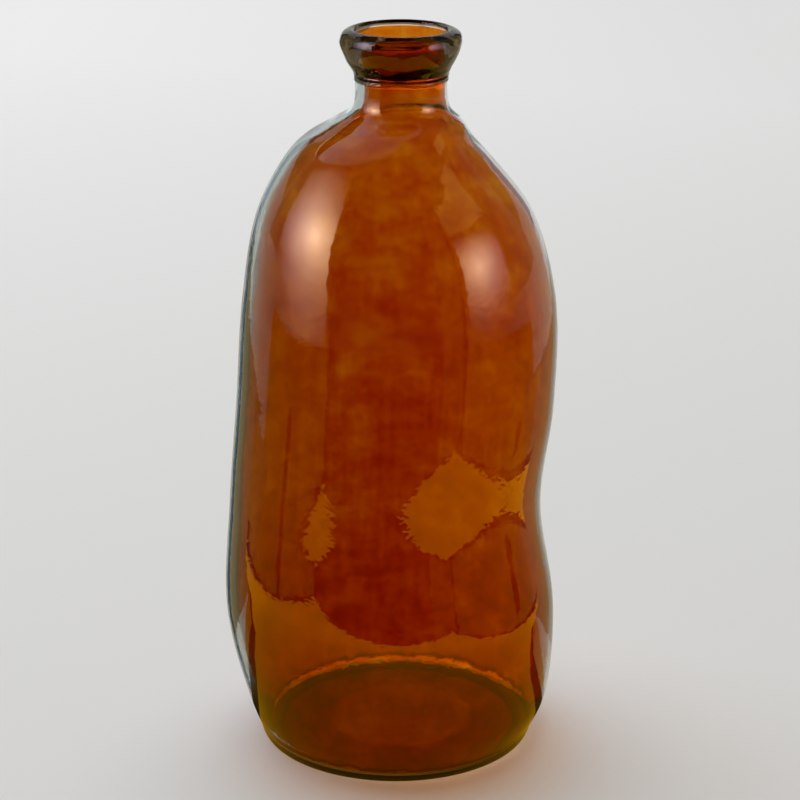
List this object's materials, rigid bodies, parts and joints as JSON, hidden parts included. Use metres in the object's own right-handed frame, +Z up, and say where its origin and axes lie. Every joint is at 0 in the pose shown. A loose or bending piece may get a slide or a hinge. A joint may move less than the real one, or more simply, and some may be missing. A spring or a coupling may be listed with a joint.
{
  "type": "glass bottle vase",
  "caption": "Tall lopsided mouth-blown glass bottle vase with a short neck, a thick flared collar and a translucent amber lining inside.",
  "frame": {"origin": "on the floor under the middle of the vase's bounding box", "axes": "+Z up through the mouth, -Y towards the viewer of the picture, +X to the viewer's right"},
  "size_m": [0.2358, 0.2344, 0.5105],
  "materials": {
    "clear_glass": "smooth, hand-blown, slightly rippled, faint grey-green tint",
    "smoky_glass": "smooth, hand-tooled and slightly wavy, smoky grey-brown tint in its thickness",
    "amber_lacquer": "translucent amber film with ragged curtains, runs and beads"
  },
  "bodies": {
    "root": {"glass_body": "clear_glass", "lip_collar": "smoky_glass", "amber_lining": "amber_lacquer"}
  },
  "joints": []
}
